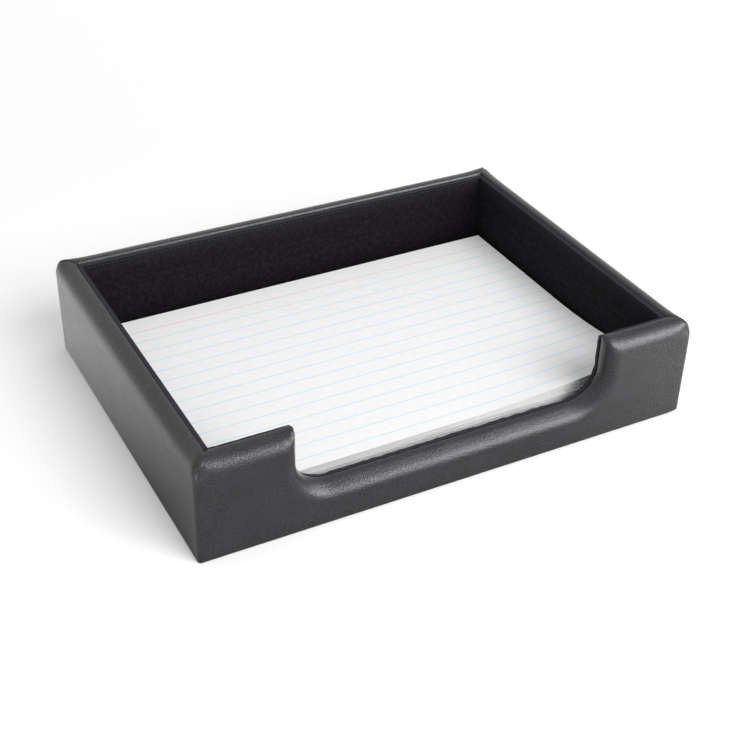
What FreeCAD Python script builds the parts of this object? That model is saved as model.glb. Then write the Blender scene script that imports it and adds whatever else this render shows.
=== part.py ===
import FreeCAD, Part
import math
import os
import Sketcher

# A leather-covered desk tray for 4 x 6 inch ruled cards, in millimetres.
# The origin is under the middle of the tray, on the surface that it stands on.
# +X is to the right, +Y to the back and +Z up; the finger notch is in the front wall, at -Y.

sizes = {
    # the cards that the tray is made for
    "card_width": 152.4,
    "card_depth": 101.6,
    "card_thickness": 0.2,
    # the room round the cards, both sides together, and the finished tray over the leather
    "card_side_room": 3.9,
    "card_end_room": 10.2,
    "tray_height": 34.9,
    "corner_radius": 2.0,
    "rim_outer_radius": 2.0,
    "rim_inner_radius": 1.0,
    "bottom_edge_radius": 0.6,
    "least_radius": 0.2,
    # the finger notch, over the leather
    "notch_width": 106.8,
    "notch_corner_radius": 11.3,
    "lip_height": 12.7,
    # the layers of a wall and of the base
    "leather_thickness": 1.0,
    "padding_thickness": 0.8,
    "wall_board_thickness": 3.2,
    "base_board_thickness": 3.2,
    "leather_turn_under": 14.0,
    "felt_thickness": 0.6,
    "felt_inset": 2.5,
    "felt_corner_radius": 2.0,
    # the velvet lining on its card stiffeners
    "stiffener_thickness": 1.0,
    "velvet_thickness": 0.6,
    "lining_drop": 0.3,
    "lining_notch_inset": 0.2,
    "hem_width": 0.9,
    "thread_width": 0.4,
    "thread_height": 0.25,
    # the brads that hold the boards together
    "brad_diameter": 1.2,
    "brad_length": 14.0,
    "brad_head_diameter": 2.2,
    "brad_head_thickness": 0.5,
    "brad_tip_length": 1.5,
    "corner_brad_spacing": 14.0,
    "side_brad_spacing": 44.0,
    # the stack of cards
    "pack_thickness": 4.4,
    "stack_right_shift": 0.8,
    "stack_back_shift": 0.4,
    "pack_turn": -0.35,
    "fan_turn": 0.125,
}
looseCards = 5

# Edges are told apart by where they lie: to within this many millimetres, and as the share of the
# way from the inside of a wall to its outside below or above which an edge is an inner or outer one.
closeEnough = 0.001
innerShare = 0.25
outerShare = 0.75

doc = FreeCAD.newDocument("memo_card_tray")
sheet = doc.addObject("Spreadsheet::Sheet", "Sizes")
for row, (alias, value) in enumerate(sizes.items(), start=1):
    sheet.set(f"A{row}", alias)
    sheet.set(f"B{row}", str(value))
    sheet.setAlias(f"B{row}", alias)
doc.recompute()

# Lengths and levels that follow from the sheet, written as expressions.
leather = "Sizes.leather_thickness"
boardInset = "(Sizes.leather_thickness + Sizes.padding_thickness)"
wall = "(2 * Sizes.leather_thickness + Sizes.padding_thickness + Sizes.wall_board_thickness)"
lining = "(Sizes.stiffener_thickness + Sizes.velvet_thickness)"
innerWidth = f"(Sizes.card_width + Sizes.card_side_room + 2 * {lining})"
innerDepth = f"(Sizes.card_depth + Sizes.card_end_room + 2 * {lining})"
trayWidth = f"({innerWidth} + 2 * {wall})"
trayDepth = f"({innerDepth} + 2 * {wall})"
halfWidth = f"({trayWidth} / 2)"
halfDepth = f"({trayDepth} / 2)"
halfNotch = "(Sizes.notch_width / 2)"
boardBottom = "(Sizes.felt_thickness + Sizes.leather_thickness)"
floorLevel = "(Sizes.felt_thickness + Sizes.leather_thickness + Sizes.base_board_thickness)"
boardTop = f"(Sizes.tray_height - {boardInset})"
liningTop = "(Sizes.tray_height - Sizes.lining_drop)"
cardLevel = f"({floorLevel} + {lining})"

leastRadius = "Sizes.least_radius"

subparts = []


def value(expression):
    return float(sheet.evalExpression(expression))


def subpart(item):
    # A piece of its own: its label is the name of its node.
    item.Label = item.Name
    subparts.append(item)
    return item


def bind(item, expressions):
    for name, expression in expressions.items():
        item.setExpression(name, expression)


def place(item, x, y, z):
    bind(item, {"Placement.Base.x": x, "Placement.Base.y": y, "Placement.Base.z": z})


def turn(item, degrees):
    # Sets the turn about the vertical: a plain number of degrees, or an expression.
    item.Placement.Rotation = FreeCAD.Rotation(FreeCAD.Vector(0, 0, 1), 1)
    bind(item, {"Placement.Rotation.Angle": str(degrees)})


def box(name, low, spans):
    item = doc.addObject("Part::Box", name)
    bind(item, dict(zip(("Length", "Width", "Height"), spans)))
    place(item, *low)
    return item


def cut(name, base, tool):
    item = doc.addObject("Part::Cut", name)
    item.Base = base
    item.Tool = tool
    return item


def group(name, items):
    item = doc.addObject("Part::Compound", name)
    item.Links = items
    return item


# Sketches and features of the bodies

def sketchOn(body, name, role, level="0"):
    sketch = body.newObject("Sketcher::SketchObject", name)
    planes = body.Origin.OriginFeatures
    sketch.AttachmentSupport = (next(item for item in planes if item.Role == role), [""])
    sketch.MapMode = "FlatFace"
    bind(sketch, {"AttachmentOffset.Base.z": level})
    return sketch


def rectangle(body, name, width, depth, level="0"):
    # A rectangle about the origin of the XY plane, raised to a level.
    sketch = sketchOn(body, name, "XY_Plane", level)
    x = value(halfWidth)
    y = value(halfDepth)
    corners = [FreeCAD.Vector(*corner, 0) for corner in ((-x, -y), (x, -y), (x, y), (-x, y))]
    for line in range(4):
        sketch.addGeometry(Part.LineSegment(corners[line], corners[(line + 1) % 4]))
    for line in range(4):
        sketch.addConstraint(Sketcher.Constraint("Coincident", line, 2, (line + 1) % 4, 1))
        sketch.addConstraint(Sketcher.Constraint("Vertical" if line % 2 else "Horizontal", line))
    sketch.addConstraint(Sketcher.Constraint("Symmetric", 0, 1, 1, 2, -1, 1))
    across = sketch.addConstraint(Sketcher.Constraint("DistanceX", 0, 1, 0, 2, 2 * x))
    along = sketch.addConstraint(Sketcher.Constraint("DistanceY", 1, 1, 1, 2, 2 * y))
    bind(sketch, {f"Constraints[{across}]": width, f"Constraints[{along}]": depth})
    return sketch


def notchOutline(body, grow):
    # The finger notch seen from the front, open above the rim; grow widens it all round.
    sketch = sketchOn(body, f"{body.Name}_notch_outline", "XZ_Plane")
    half = value(f"{halfNotch} + {grow}")
    lip = value(f"Sizes.lip_height - {grow}")
    radius = value(f"Sizes.notch_corner_radius + {grow}")
    top = value("2 * Sizes.tray_height")
    vector = FreeCAD.Vector
    turnRight = Part.Circle(vector(half - radius, lip + radius, 0), vector(0, 0, 1), radius)
    turnLeft = Part.Circle(vector(radius - half, lip + radius, 0), vector(0, 0, 1), radius)
    quarter = math.pi / 2
    sketch.addGeometry([
        Part.LineSegment(vector(radius - half, lip, 0), vector(half - radius, lip, 0)),
        Part.ArcOfCircle(turnRight, -quarter, 0),
        Part.LineSegment(vector(half, lip + radius, 0), vector(half, top, 0)),
        Part.LineSegment(vector(half, top, 0), vector(-half, top, 0)),
        Part.LineSegment(vector(-half, top, 0), vector(-half, lip + radius, 0)),
        Part.ArcOfCircle(turnLeft, 2 * quarter, 3 * quarter),
    ])
    for rule in (("Tangent", 0, 2, 1, 1), ("Tangent", 1, 2, 2, 1), ("Coincident", 2, 2, 3, 1),
                 ("Coincident", 3, 2, 4, 1), ("Tangent", 4, 2, 5, 1), ("Tangent", 5, 2, 0, 1),
                 ("Horizontal", 0), ("Vertical", 2), ("Vertical", 4), ("Equal", 1, 5),
                 ("Symmetric", 3, 1, 3, 2, -2)):
        sketch.addConstraint(Sketcher.Constraint(*rule))
    across = sketch.addConstraint(Sketcher.Constraint("DistanceX", 3, 2, 3, 1, 2 * half))
    corner = sketch.addConstraint(Sketcher.Constraint("Radius", 1, radius))
    bottom = sketch.addConstraint(Sketcher.Constraint("DistanceY", -1, 1, 0, 1, lip))
    height = sketch.addConstraint(Sketcher.Constraint("DistanceY", -1, 1, 3, 1, top))
    bind(sketch, {
        f"Constraints[{across}]": f"2 * ({halfNotch} + {grow})",
        f"Constraints[{corner}]": f"Sizes.notch_corner_radius + {grow}",
        f"Constraints[{bottom}]": f"Sizes.lip_height - {grow}",
        f"Constraints[{height}]": "2 * Sizes.tray_height",
    })
    return sketch


def pad(body, sketch, height):
    feature = body.newObject("PartDesign::Pad", f"{sketch.Name}_pad")
    feature.Profile = sketch
    bind(feature, {"Length": height})
    return feature


def pocketDown(body, sketch, depth):
    # Cuts from the sketch downwards.
    feature = body.newObject("PartDesign::Pocket", f"{sketch.Name}_pocket")
    feature.Profile = sketch
    bind(feature, {"Length": depth})
    return feature


def pocketNotch(body, grow):
    # Cuts the notch out of the front wall alone: the sketch is on the middle plane, facing -Y.
    sketch = notchOutline(body, grow)
    feature = body.newObject("PartDesign::Pocket", f"{body.Name}_notch")
    feature.Profile = sketch
    feature.Reversed = True
    bind(feature, {"Length": trayDepth})
    return feature


def fillet(body, name, radius, wanted):
    # Rounds the edges of the body's last feature whose bounds pass the test.
    doc.recompute()
    base = body.Tip
    edges = enumerate(base.Shape.Edges, start=1)
    names = [f"Edge{number}" for number, edge in edges if wanted(edge.BoundBox)]
    feature = body.newObject("PartDesign::Fillet", f"{body.Name}_{name}")
    feature.Base = (base, names)
    bind(feature, {"Radius": radius})
    return feature


def near(first, second):
    return abs(first - second) < closeEnough


# The forms that the layers are cut from

def trayForm(name, inset, innerInset, bottom, top):
    # An open tray with its outside and inside faces this far in from the finished outside.
    body = doc.addObject("PartDesign::Body", name)
    outline = rectangle(body, f"{name}_outline", f"{trayWidth} - 2 * {inset}",
                        f"{trayDepth} - 2 * {inset}", bottom)
    pad(body, outline, f"{top} - {bottom}")
    hollow = rectangle(body, f"{name}_hollow", f"{trayWidth} - 2 * {innerInset}",
                       f"{trayDepth} - 2 * {innerInset}", top)
    pocketDown(body, hollow, f"{top} - {floorLevel}")
    pocketNotch(body, inset)
    return body


def roundForm(body, inset, innerInset, bottom, top, radii):
    # Rounds a tray form: its upright corners, the rim's outer edge with the notch's front edge,
    # the rim's inner edge with the notch's inner edge, and the outer edge of the underside.
    innerX = value(f"{halfWidth} - {innerInset}")
    innerY = value(f"{halfDepth} - {innerInset}")
    span = value(f"{innerInset} - {inset}")
    rim = value(top)
    underside = value(bottom)
    notch = value(f"{halfNotch} + {inset}")
    lip = value(f"Sizes.lip_height - {inset}")

    def outward(edge):
        # 0 on the inner face of a wall and 1 on its outer face
        return max(abs(edge.Center.x) - innerX, abs(edge.Center.y) - innerY) / span

    def level(edge, z):
        return near(edge.ZMin, z) and near(edge.ZMax, z)

    def alongNotch(edge, y):
        onFace = near(edge.YMin, -y) and near(edge.YMax, -y)
        return onFace and abs(edge.Center.x) < notch + closeEnough and edge.ZMin > lip - closeEnough

    def upright(edge):
        return edge.ZLength > closeEnough and min(abs(edge.XMin) - innerX, abs(edge.YMin) - innerY) > span / 2

    def outerRim(edge):
        return (level(edge, rim) and outward(edge) > outerShare) or alongNotch(edge, innerY + span)

    def innerRim(edge):
        return (level(edge, rim) and outward(edge) < innerShare) or alongNotch(edge, innerY)

    def undersideEdge(edge):
        return level(edge, underside) and outward(edge) > outerShare

    tests = {"corners": upright, "rim": outerRim, "inside": innerRim, "underside": undersideEdge}
    for name, radius in radii.items():
        fillet(body, name, radius, tests[name])


def leatherForm():
    # The finished outside of the tray, down to the floor boards, with the underside hollowed
    # to leave the leather's turned-under margin.
    bottom = "Sizes.felt_thickness"
    top = "Sizes.tray_height"
    form = trayForm("leather_form", "0", wall, bottom, top)
    margin = "(Sizes.leather_thickness + Sizes.leather_turn_under)"
    recess = rectangle(form, "underside_recess", f"{trayWidth} - 2 * {margin}",
                       f"{trayDepth} - 2 * {margin}", boardBottom)
    pocketDown(form, recess, leather)
    roundForm(form, "0", wall, bottom, top, {
        "corners": "Sizes.corner_radius",
        "rim": "Sizes.rim_outer_radius",
        "inside": "Sizes.rim_inner_radius",
        "underside": "Sizes.bottom_edge_radius",
    })
    return form


def paddedForm():
    # The boards with their padding on, which the leather is drawn over.
    innerInset = f"({wall} - {leather})"
    top = f"(Sizes.tray_height - {leather})"
    form = trayForm("padded_form", leather, innerInset, boardBottom, top)
    roundForm(form, leather, innerInset, boardBottom, top, {
        "corners": f"max(Sizes.corner_radius - {leather}; {leastRadius})",
        "rim": f"max(Sizes.rim_outer_radius - {leather}; {leastRadius})",
    })
    return form


def boardedForm():
    # The bare boards, nailed together.
    return trayForm("boarded_form", boardInset, f"({wall} - {leather})", boardBottom, boardTop)


# The boards and their brads

def brad(name, x, y, z, rotation, direction):
    # A panel pin: head, shank and point in a row along its direction.
    pieces = []
    lengths = {
        "head": "Sizes.brad_head_thickness",
        "shank": "(Sizes.brad_length - Sizes.brad_head_thickness - Sizes.brad_tip_length)",
        "point": "Sizes.brad_tip_length",
    }
    radii = {
        "head": {"Radius": "Sizes.brad_head_diameter / 2"},
        "shank": {"Radius": "Sizes.brad_diameter / 2"},
        "point": {"Radius1": "Sizes.brad_diameter / 2", "Radius2": "0"},
    }
    start = "0"
    for part, length in lengths.items():
        kind = "Part::Cone" if part == "point" else "Part::Cylinder"
        piece = doc.addObject(kind, f"{name}_{part}")
        piece.Placement.Rotation = rotation
        bind(piece, {"Height": length, **radii[part]})
        place(piece, *(f"{at} + {step} * ({start})" for at, step in zip((x, y, z), direction)))
        pieces.append(piece)
        start = f"{start} + {length}"
    whole = doc.addObject("Part::MultiFuse", name)
    whole.Shapes = pieces
    return whole


def cornerBrads():
    # Two through the front or back board into each end of each side board.
    x = f"({halfWidth} - {boardInset} - Sizes.wall_board_thickness / 2)"
    y = f"({halfDepth} - {boardInset})"
    middle = f"(({floorLevel} + {boardTop}) / 2)"
    brads = []
    for side in (-1, 1):
        for end in (-1, 1):
            inwards = FreeCAD.Rotation(FreeCAD.Vector(1, 0, 0), 90 * end)
            for row in (-1, 1):
                z = f"{middle} + {row} * Sizes.corner_brad_spacing / 2"
                name = f"corner_brad_{len(brads) + 1}"
                brads.append(brad(name, f"{side} * {x}", f"{end} * {y}", z, inwards, (0, -end, 0)))
    return subpart(group("corner_brads", brads))


def baseBrads():
    # Up through the base board into the posts, the back board and the side boards.
    x = f"({halfWidth} - {boardInset} - Sizes.wall_board_thickness / 2)"
    y = f"({halfDepth} - {boardInset} - Sizes.wall_board_thickness / 2)"
    post = f"(({halfWidth} + {halfNotch}) / 2)"
    places = [("0", y)]
    for side in (-1, 1):
        places.append((f"{side} * {post}", f"-{y}"))
        places.append((f"{side} * {post}", y))
        for end in (-1, 1):
            places.append((f"{side} * {x}", f"{end} * Sizes.side_brad_spacing / 2"))
    brads = []
    for spot in places:
        name = f"base_brad_{len(brads) + 1}"
        brads.append(brad(name, *spot, boardBottom, FreeCAD.Rotation(), (0, 0, 1)))
    return subpart(group("base_brads", brads))


def notchBlock(name, grow):
    # A block of the notch's outline that reaches from the middle of the tray out past its front.
    body = doc.addObject("PartDesign::Body", name)
    pad(body, notchOutline(body, grow), trayDepth)
    return body


def boards(bradGroups):
    # The base board lies under the walls; the front and back boards cover the side boards' ends.
    thick = "Sizes.wall_board_thickness"
    width = f"({trayWidth} - 2 * {boardInset})"
    depth = f"({trayDepth} - 2 * {boardInset})"
    sideDepth = f"({depth} - 2 * {thick})"
    tall = f"({boardTop} - {floorLevel})"
    blanks = {
        "base_board": ((f"-{width} / 2", f"-{depth} / 2", boardBottom),
                       (width, depth, "Sizes.base_board_thickness")),
        "front_board": ((f"-{width} / 2", f"-{depth} / 2", floorLevel), (width, thick, tall)),
        "back_board": ((f"-{width} / 2", f"{sideDepth} / 2", floorLevel), (width, thick, tall)),
        "left_board": ((f"-{width} / 2", f"-{sideDepth} / 2", floorLevel), (thick, sideDepth, tall)),
        "right_board": ((f"{width} / 2 - {thick}", f"-{sideDepth} / 2", floorLevel),
                        (thick, sideDepth, tall)),
    }
    holes = group("brad_holes", bradGroups)
    for name, (low, spans) in blanks.items():
        blank = box(f"{name}_blank", low, spans)
        if name == "front_board":
            blank = cut("front_board_notched", blank, notchBlock("board_notch", boardInset))
        subpart(cut(name, blank, holes))


# The padding and the leather

def padding(padded):
    # A strip for each wall, over its outside, its top edge and the notch, mitred at the corners.
    ring = cut("padding_ring", padded, boardedForm())
    sides = {
        "front": (trayWidth, "0", f"-{halfDepth}", 0),
        "right": (trayDepth, halfWidth, "0", 90),
        "back": (trayWidth, "0", halfDepth, 180),
        "left": (trayDepth, f"-{halfWidth}", "0", 270),
    }
    for side, (length, x, y, degrees) in sides.items():
        wedge = doc.addObject("Part::Wedge", f"{side}_mitre")
        bind(wedge, {
            "Xmin": f"-{length} / 2", "Xmax": f"{length} / 2",
            "X2min": f"{wall} - {length} / 2", "X2max": f"{length} / 2 - {wall}",
            "Ymin": "0", "Ymax": wall,
            "Zmin": "0", "Zmax": "Sizes.tray_height",
            "Z2min": "0", "Z2max": "Sizes.tray_height",
        })
        place(wedge, x, y, "0")
        turn(wedge, degrees)
        strip = doc.addObject("Part::Common", f"{side}_padding")
        strip.Base = ring
        strip.Tool = wedge
        subpart(strip)


def baseFelt():
    body = doc.addObject("PartDesign::Body", "base_felt")
    outline = rectangle(body, "felt_outline", f"{trayWidth} - 2 * Sizes.felt_inset",
                        f"{trayDepth} - 2 * Sizes.felt_inset")
    pad(body, outline, "Sizes.felt_thickness")
    fillet(body, "corners", "Sizes.felt_corner_radius", lambda edge: edge.ZLength > closeEnough)
    return subpart(body)


# The lining: velvet over card stiffeners, folded over the top edge of each wall's stiffener

def liningPanels():
    stiff = "Sizes.stiffener_thickness"
    sideDepth = f"({innerDepth} - 2 * {lining})"
    tall = f"({liningTop} - {floorLevel})"
    plans = {
        "front": lambda thick: (f"-{innerWidth} / 2", f"-{innerDepth} / 2", innerWidth, thick),
        "back": lambda thick: (f"-{innerWidth} / 2", f"{innerDepth} / 2 - {thick}", innerWidth, thick),
        "left": lambda thick: (f"-{innerWidth} / 2", f"-{sideDepth} / 2", thick, sideDepth),
        "right": lambda thick: (f"{innerWidth} / 2 - {thick}", f"-{sideDepth} / 2", thick, sideDepth),
    }
    velvetInset = "Sizes.lining_notch_inset"
    stiffInset = "(Sizes.lining_notch_inset + Sizes.velvet_thickness)"
    for side, plan in plans.items():
        x, y, across, along = plan(stiff)
        stiffener = box(f"{side}_stiffener_sheet", (x, y, floorLevel),
                        (across, along, f"{tall} - Sizes.velvet_thickness"))
        x, y, across, along = plan(lining)
        panel = box(f"{side}_lining_panel", (x, y, floorLevel), (across, along, tall))
        if side == "front":
            stiffener = cut("front_stiffener_notched", stiffener, notchBlock("stiffener_notch", stiffInset))
            panel = cut("front_panel_notched", panel, notchBlock("velvet_notch", velvetInset))
        stiffener.Label = f"{side}_stiffener"
        subparts.append(stiffener)
        subpart(cut(f"{side}_velvet", panel, stiffener))

    low = (f"-({innerWidth} / 2 - {lining})", f"-{sideDepth} / 2")
    spans = (f"{innerWidth} - 2 * {lining}", sideDepth)
    subpart(box("floor_stiffener", (*low, floorLevel), (*spans, stiff)))
    subpart(box("floor_velvet", (*low, f"{floorLevel} + {stiff}"), (*spans, "Sizes.velvet_thickness")))


def liningThread():
    # The hem's stitching, as one flat run along each wall's velvet and on each front post.
    halfX = f"({innerWidth} / 2 - {lining})"
    halfY = f"({innerDepth} / 2 - {lining})"
    tall = "Sizes.thread_height"
    wide = "Sizes.thread_width"
    level = f"{liningTop} - Sizes.hem_width - {wide}"
    postEdge = f"({halfNotch} + Sizes.lining_notch_inset + Sizes.hem_width)"
    post = f"({halfX} - {tall} - {postEdge})"
    side = f"(2 * ({halfY} - {tall}))"
    runs = {
        "back": (f"-{halfX}", f"{halfY} - {tall}", f"2 * {halfX}", tall),
        "left": (f"-{halfX}", f"-{side} / 2", tall, side),
        "right": (f"{halfX} - {tall}", f"-{side} / 2", tall, side),
        "left_post": (f"-{postEdge} - {post}", f"-{halfY}", post, tall),
        "right_post": (postEdge, f"-{halfY}", post, tall),
    }
    lengths = [box(f"{name}_thread", (x, y, level), (across, along, wide))
               for name, (x, y, across, along) in runs.items()]
    return subpart(group("lining_thread", lengths))


# The cards

def card(name, thickness, level, degrees):
    # A card, or a squared-up pack of them, turned a little about the middle of the stack.
    body = doc.addObject("PartDesign::Body", name)
    outline = rectangle(body, f"{name}_outline", "Sizes.card_width", "Sizes.card_depth")
    pad(body, outline, thickness)
    place(body, "Sizes.stack_right_shift", "Sizes.stack_back_shift", level)
    turn(body, degrees)
    return subpart(body)


def cards():
    packTop = f"{cardLevel} + Sizes.pack_thickness"
    card("card_pack", "Sizes.pack_thickness", cardLevel, "Sizes.pack_turn")
    for number in range(1, looseCards + 2):
        name = f"card_{number}" if number <= looseCards else "top_card"
        level = f"{packTop} + {number - 1} * Sizes.card_thickness"
        card(name, "Sizes.card_thickness", level, f"Sizes.pack_turn + {number} * Sizes.fan_turn")


def checkedAndWritten():
    doc.recompute()
    for item in doc.Objects:
        for fault in ("Invalid", "Error"):
            if fault in item.State:
                raise RuntimeError(f"{item.Label} is {fault}")
    for item in subparts:
        if item.Shape.isNull() or not item.Shape.isValid() or not item.Shape.Solids:
            raise RuntimeError(f"{item.Label} has no valid solid")
    os.makedirs("parts", exist_ok=True)
    for item in subparts:
        item.Shape.exportStep(f"parts/{item.Label}.step")
        print(f"{item.Label}: {len(item.Shape.Solids)} solid(s), {item.Shape.Volume:.1f} mm3")


boards([cornerBrads(), baseBrads()])
padded = paddedForm()
padding(padded)
subpart(cut("leather_wrap", leatherForm(), padded))
baseFelt()
liningPanels()
liningThread()
cards()
checkedAndWritten()
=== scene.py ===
import math
import random

import bmesh
import bpy
from mathutils import Euler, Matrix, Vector, noise


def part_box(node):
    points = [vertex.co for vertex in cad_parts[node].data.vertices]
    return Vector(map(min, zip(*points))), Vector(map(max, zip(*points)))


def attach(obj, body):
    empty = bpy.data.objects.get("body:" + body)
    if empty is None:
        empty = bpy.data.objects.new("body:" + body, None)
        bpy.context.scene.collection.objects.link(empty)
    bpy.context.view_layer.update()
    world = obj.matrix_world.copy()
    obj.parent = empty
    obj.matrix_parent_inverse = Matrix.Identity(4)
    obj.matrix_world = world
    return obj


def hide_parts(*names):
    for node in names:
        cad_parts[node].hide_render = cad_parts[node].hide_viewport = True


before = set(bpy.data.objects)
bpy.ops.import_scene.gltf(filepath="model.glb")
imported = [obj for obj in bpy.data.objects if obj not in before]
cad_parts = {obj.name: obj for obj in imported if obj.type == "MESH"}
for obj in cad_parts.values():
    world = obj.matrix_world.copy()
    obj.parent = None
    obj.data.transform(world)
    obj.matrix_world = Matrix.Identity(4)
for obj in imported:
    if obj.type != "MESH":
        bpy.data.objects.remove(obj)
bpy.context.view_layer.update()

mm = 0.001


def say(stage):
    print("stage:", stage)


def deselectAll():
    if bpy.context.mode != "OBJECT":
        bpy.ops.object.mode_set(mode="OBJECT")
    bpy.ops.object.select_all(action="DESELECT")


def chooseOnly(*pieces):
    deselectAll()
    for piece in pieces:
        piece.select_set(True)
    bpy.context.view_layer.objects.active = pieces[0]


def named(name):
    piece = bpy.context.active_object
    piece.name = piece.data.name = name
    bpy.ops.object.transform_apply(location=True, rotation=True, scale=True)
    return piece


def blockFrom(name, low, high):
    # a cube primitive at its size and place, as the start of a piece
    deselectAll()
    low, high = Vector(low), Vector(high)
    bpy.ops.mesh.primitive_cube_add(size=1, location=(low + high) / 2, scale=high - low)
    return named(name)


def pick(kind, test):
    # selects the edges or faces of the piece in edit mode that pass the test
    bpy.ops.mesh.select_mode(type=kind)
    bpy.ops.mesh.select_all(action="DESELECT")
    mesh = bmesh.from_edit_mesh(bpy.context.edit_object.data)
    mesh.normal_update()
    for part in (mesh.edges if kind == "EDGE" else mesh.faces):
        if test(part):
            part.select_set(True)
    mesh.select_flush_mode()
    bmesh.update_edit_mesh(bpy.context.edit_object.data)


def middle(part):
    if hasattr(part, "calc_center_median"):
        return part.calc_center_median()
    return sum((v.co for v in part.verts), Vector()) / len(part.verts)


def cutAcross(places, direction, test=None):
    # bisects the chosen faces by planes square to a direction
    for place in places:
        if test is None:
            bpy.ops.mesh.select_mode(type="FACE")
            bpy.ops.mesh.select_all(action="SELECT")
        else:
            pick("FACE", test)
        bpy.ops.mesh.bisect(plane_co=Vector(direction) * place, plane_no=direction)


def rounded(size, segments):
    # bevels the chosen edges of the piece in edit mode
    bpy.ops.mesh.bevel(offset=size, offset_type="OFFSET", segments=segments, profile=0.5, affect="EDGES",
                       clamp_overlap=False)


def steps(low, high, pitch):
    # evenly spaced places strictly between two ends
    count = max(1, round((high - low) / pitch))
    return [low + (high - low) * (i + 0.5) / count for i in range(count)]


def applied(piece, kind, **settings):
    chooseOnly(piece)
    modifier = piece.modifiers.new(kind.title(), kind)
    for key, value in settings.items():
        setattr(modifier, key, value)
    bpy.ops.object.modifier_apply(modifier=modifier.name)


def smoothed(piece, degrees):
    chooseOnly(piece)
    bpy.ops.object.shade_smooth_by_angle(angle=math.radians(degrees))


def moved(piece, shift):
    # moves each vertex of a finished mesh by a function of its place
    for vertex in piece.data.vertices:
        vertex.co = shift(vertex.co)
    piece.data.update()


def softStep(value):
    value = min(1.0, max(0.0, value))
    return value * value * (3 - 2 * value)


def hill(distance, reach):
    # 1 at no distance, falling smoothly to nothing
    return math.exp(-((distance / reach) ** 2))


def linear(hexColour):
    # an sRGB hex value as the linear colour that the shaders take
    parts = [int(hexColour[i:i + 2], 16) / 255 for i in (1, 3, 5)]
    return (*[p / 12.92 if p <= 0.04045 else ((p + 0.055) / 1.055) ** 2.4 for p in parts], 1.0)


def freshMaterial(name):
    material = bpy.data.materials.new(name)
    material.use_nodes = True
    material.node_tree.nodes.clear()
    return material


def addNode(owner, kind, settings=None, links=None, **values):
    # one node of a material or a world, with its settings, its socket values and its links
    node = owner.node_tree.nodes.new(kind)
    for key, value in (settings or {}).items():
        setattr(node, key, value)
    for key, value in values.items():
        numbered = key[0] == "i" and key[1:].isdigit()
        node.inputs[int(key[1:]) if numbered else key.replace("_", " ")].default_value = value
    for key, source in (links or {}).items():
        owner.node_tree.links.new(source, node.inputs[key])
    return node


def maths(owner, operation, links, **values):
    return addNode(owner, "ShaderNodeMath", {"operation": operation}, links, **values).outputs[0]


def ramp(material, source, stops):
    node = addNode(material, "ShaderNodeValToRGB", links={"Fac": source})
    points, stops = node.color_ramp.elements, list(stops)
    while len(points) < len(stops):
        points.new(0.5)
    for point, (place, colour) in zip(points, stops):
        point.position = place
        point.color = linear(colour)
    return node.outputs["Color"]


def perMetre(size):
    # the scale of a noise or cell pattern whose features are this many millimetres apart
    return 1000 / size


def cloudy(material, place, size, detail, **values):
    # a noise whose features are this many millimetres apart
    node = addNode(material, "ShaderNodeTexNoise", Scale=perMetre(size), Detail=detail,
                   links={"Vector": place}, **values)
    return node.outputs["Fac"]


def relief(material, height, strength, deep):
    # a bump this many millimetres deep
    return addNode(material, "ShaderNodeBump", Strength=strength, Distance=deep * mm,
                   links={"Height": height}).outputs[0]


def finishMaterial(material, shader):
    addNode(material, "ShaderNodeOutputMaterial", links={"Surface": shader.outputs[0]})
    return material


leatherLook = {
    "dark": "#1c1a1d", "light": "#262427", "shine": "#fcf9ff", "mottleSize": 9.0, "mottleEnds": (0.3, 0.7),
    "grainSize": 0.40, "grainRound": 0.6, "poreSize": 0.25, "poreShare": 0.5, "grainStrength": 0.6,
    "grainHeight": 0.12, "roughLow": 0.25, "roughHigh": 0.33, "speckSize": 0.32, "speckEnds": (0.35, 0.65),
    "shineLow": 0.30, "shineHigh": 0.70, "coatLow": 0.52, "coatHigh": 1.0,
}


def topCoatedLeather():
    # pigmented split leather, embossed and top coated: an even near-black with a soft pebbled shine
    look = leatherLook
    material = freshMaterial("topCoatedBlackLeather")
    place = addNode(material, "ShaderNodeTexCoord").outputs["Object"]
    mottle = cloudy(material, place, look["mottleSize"], 4.0)
    grain = addNode(material, "ShaderNodeTexVoronoi", {"feature": "SMOOTH_F1"},
                    Scale=perMetre(look["grainSize"]), Smoothness=look["grainRound"], links={"Vector": place})
    pores = cloudy(material, place, look["poreSize"], 3.0)
    height = maths(material, "MULTIPLY_ADD", {0: pores, 2: grain.outputs["Distance"]}, i1=look["poreShare"])
    bump = relief(material, height, look["grainStrength"], look["grainHeight"])
    rough = addNode(material, "ShaderNodeMapRange", To_Min=look["roughLow"], To_Max=look["roughHigh"],
                    links={"Value": mottle}).outputs[0]
    colour = ramp(material, mottle, zip(look["mottleEnds"], (look["dark"], look["light"])))
    # the valleys between the pebbles shine less than their tops, in the leather as in its coat
    specks = cloudy(material, place, look["speckSize"], 2.0)
    low, high = look["speckEnds"]
    shine, coat = [addNode(material, "ShaderNodeMapRange", From_Min=low, From_Max=high,
                           To_Min=look[layer + "Low"], To_Max=look[layer + "High"],
                           links={"Value": specks}).outputs[0] for layer in ("shine", "coat")]
    shader = addNode(material, "ShaderNodeBsdfPrincipled", IOR=1.5, Specular_Tint=linear(look["shine"]),
                     links={"Base Color": colour, "Roughness": rough, "Normal": bump,
                            "Specular IOR Level": shine, "Coat Weight": coat, "Coat Normal": bump,
                            "Coat Roughness": rough})
    return finishMaterial(material, shader)


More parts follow.
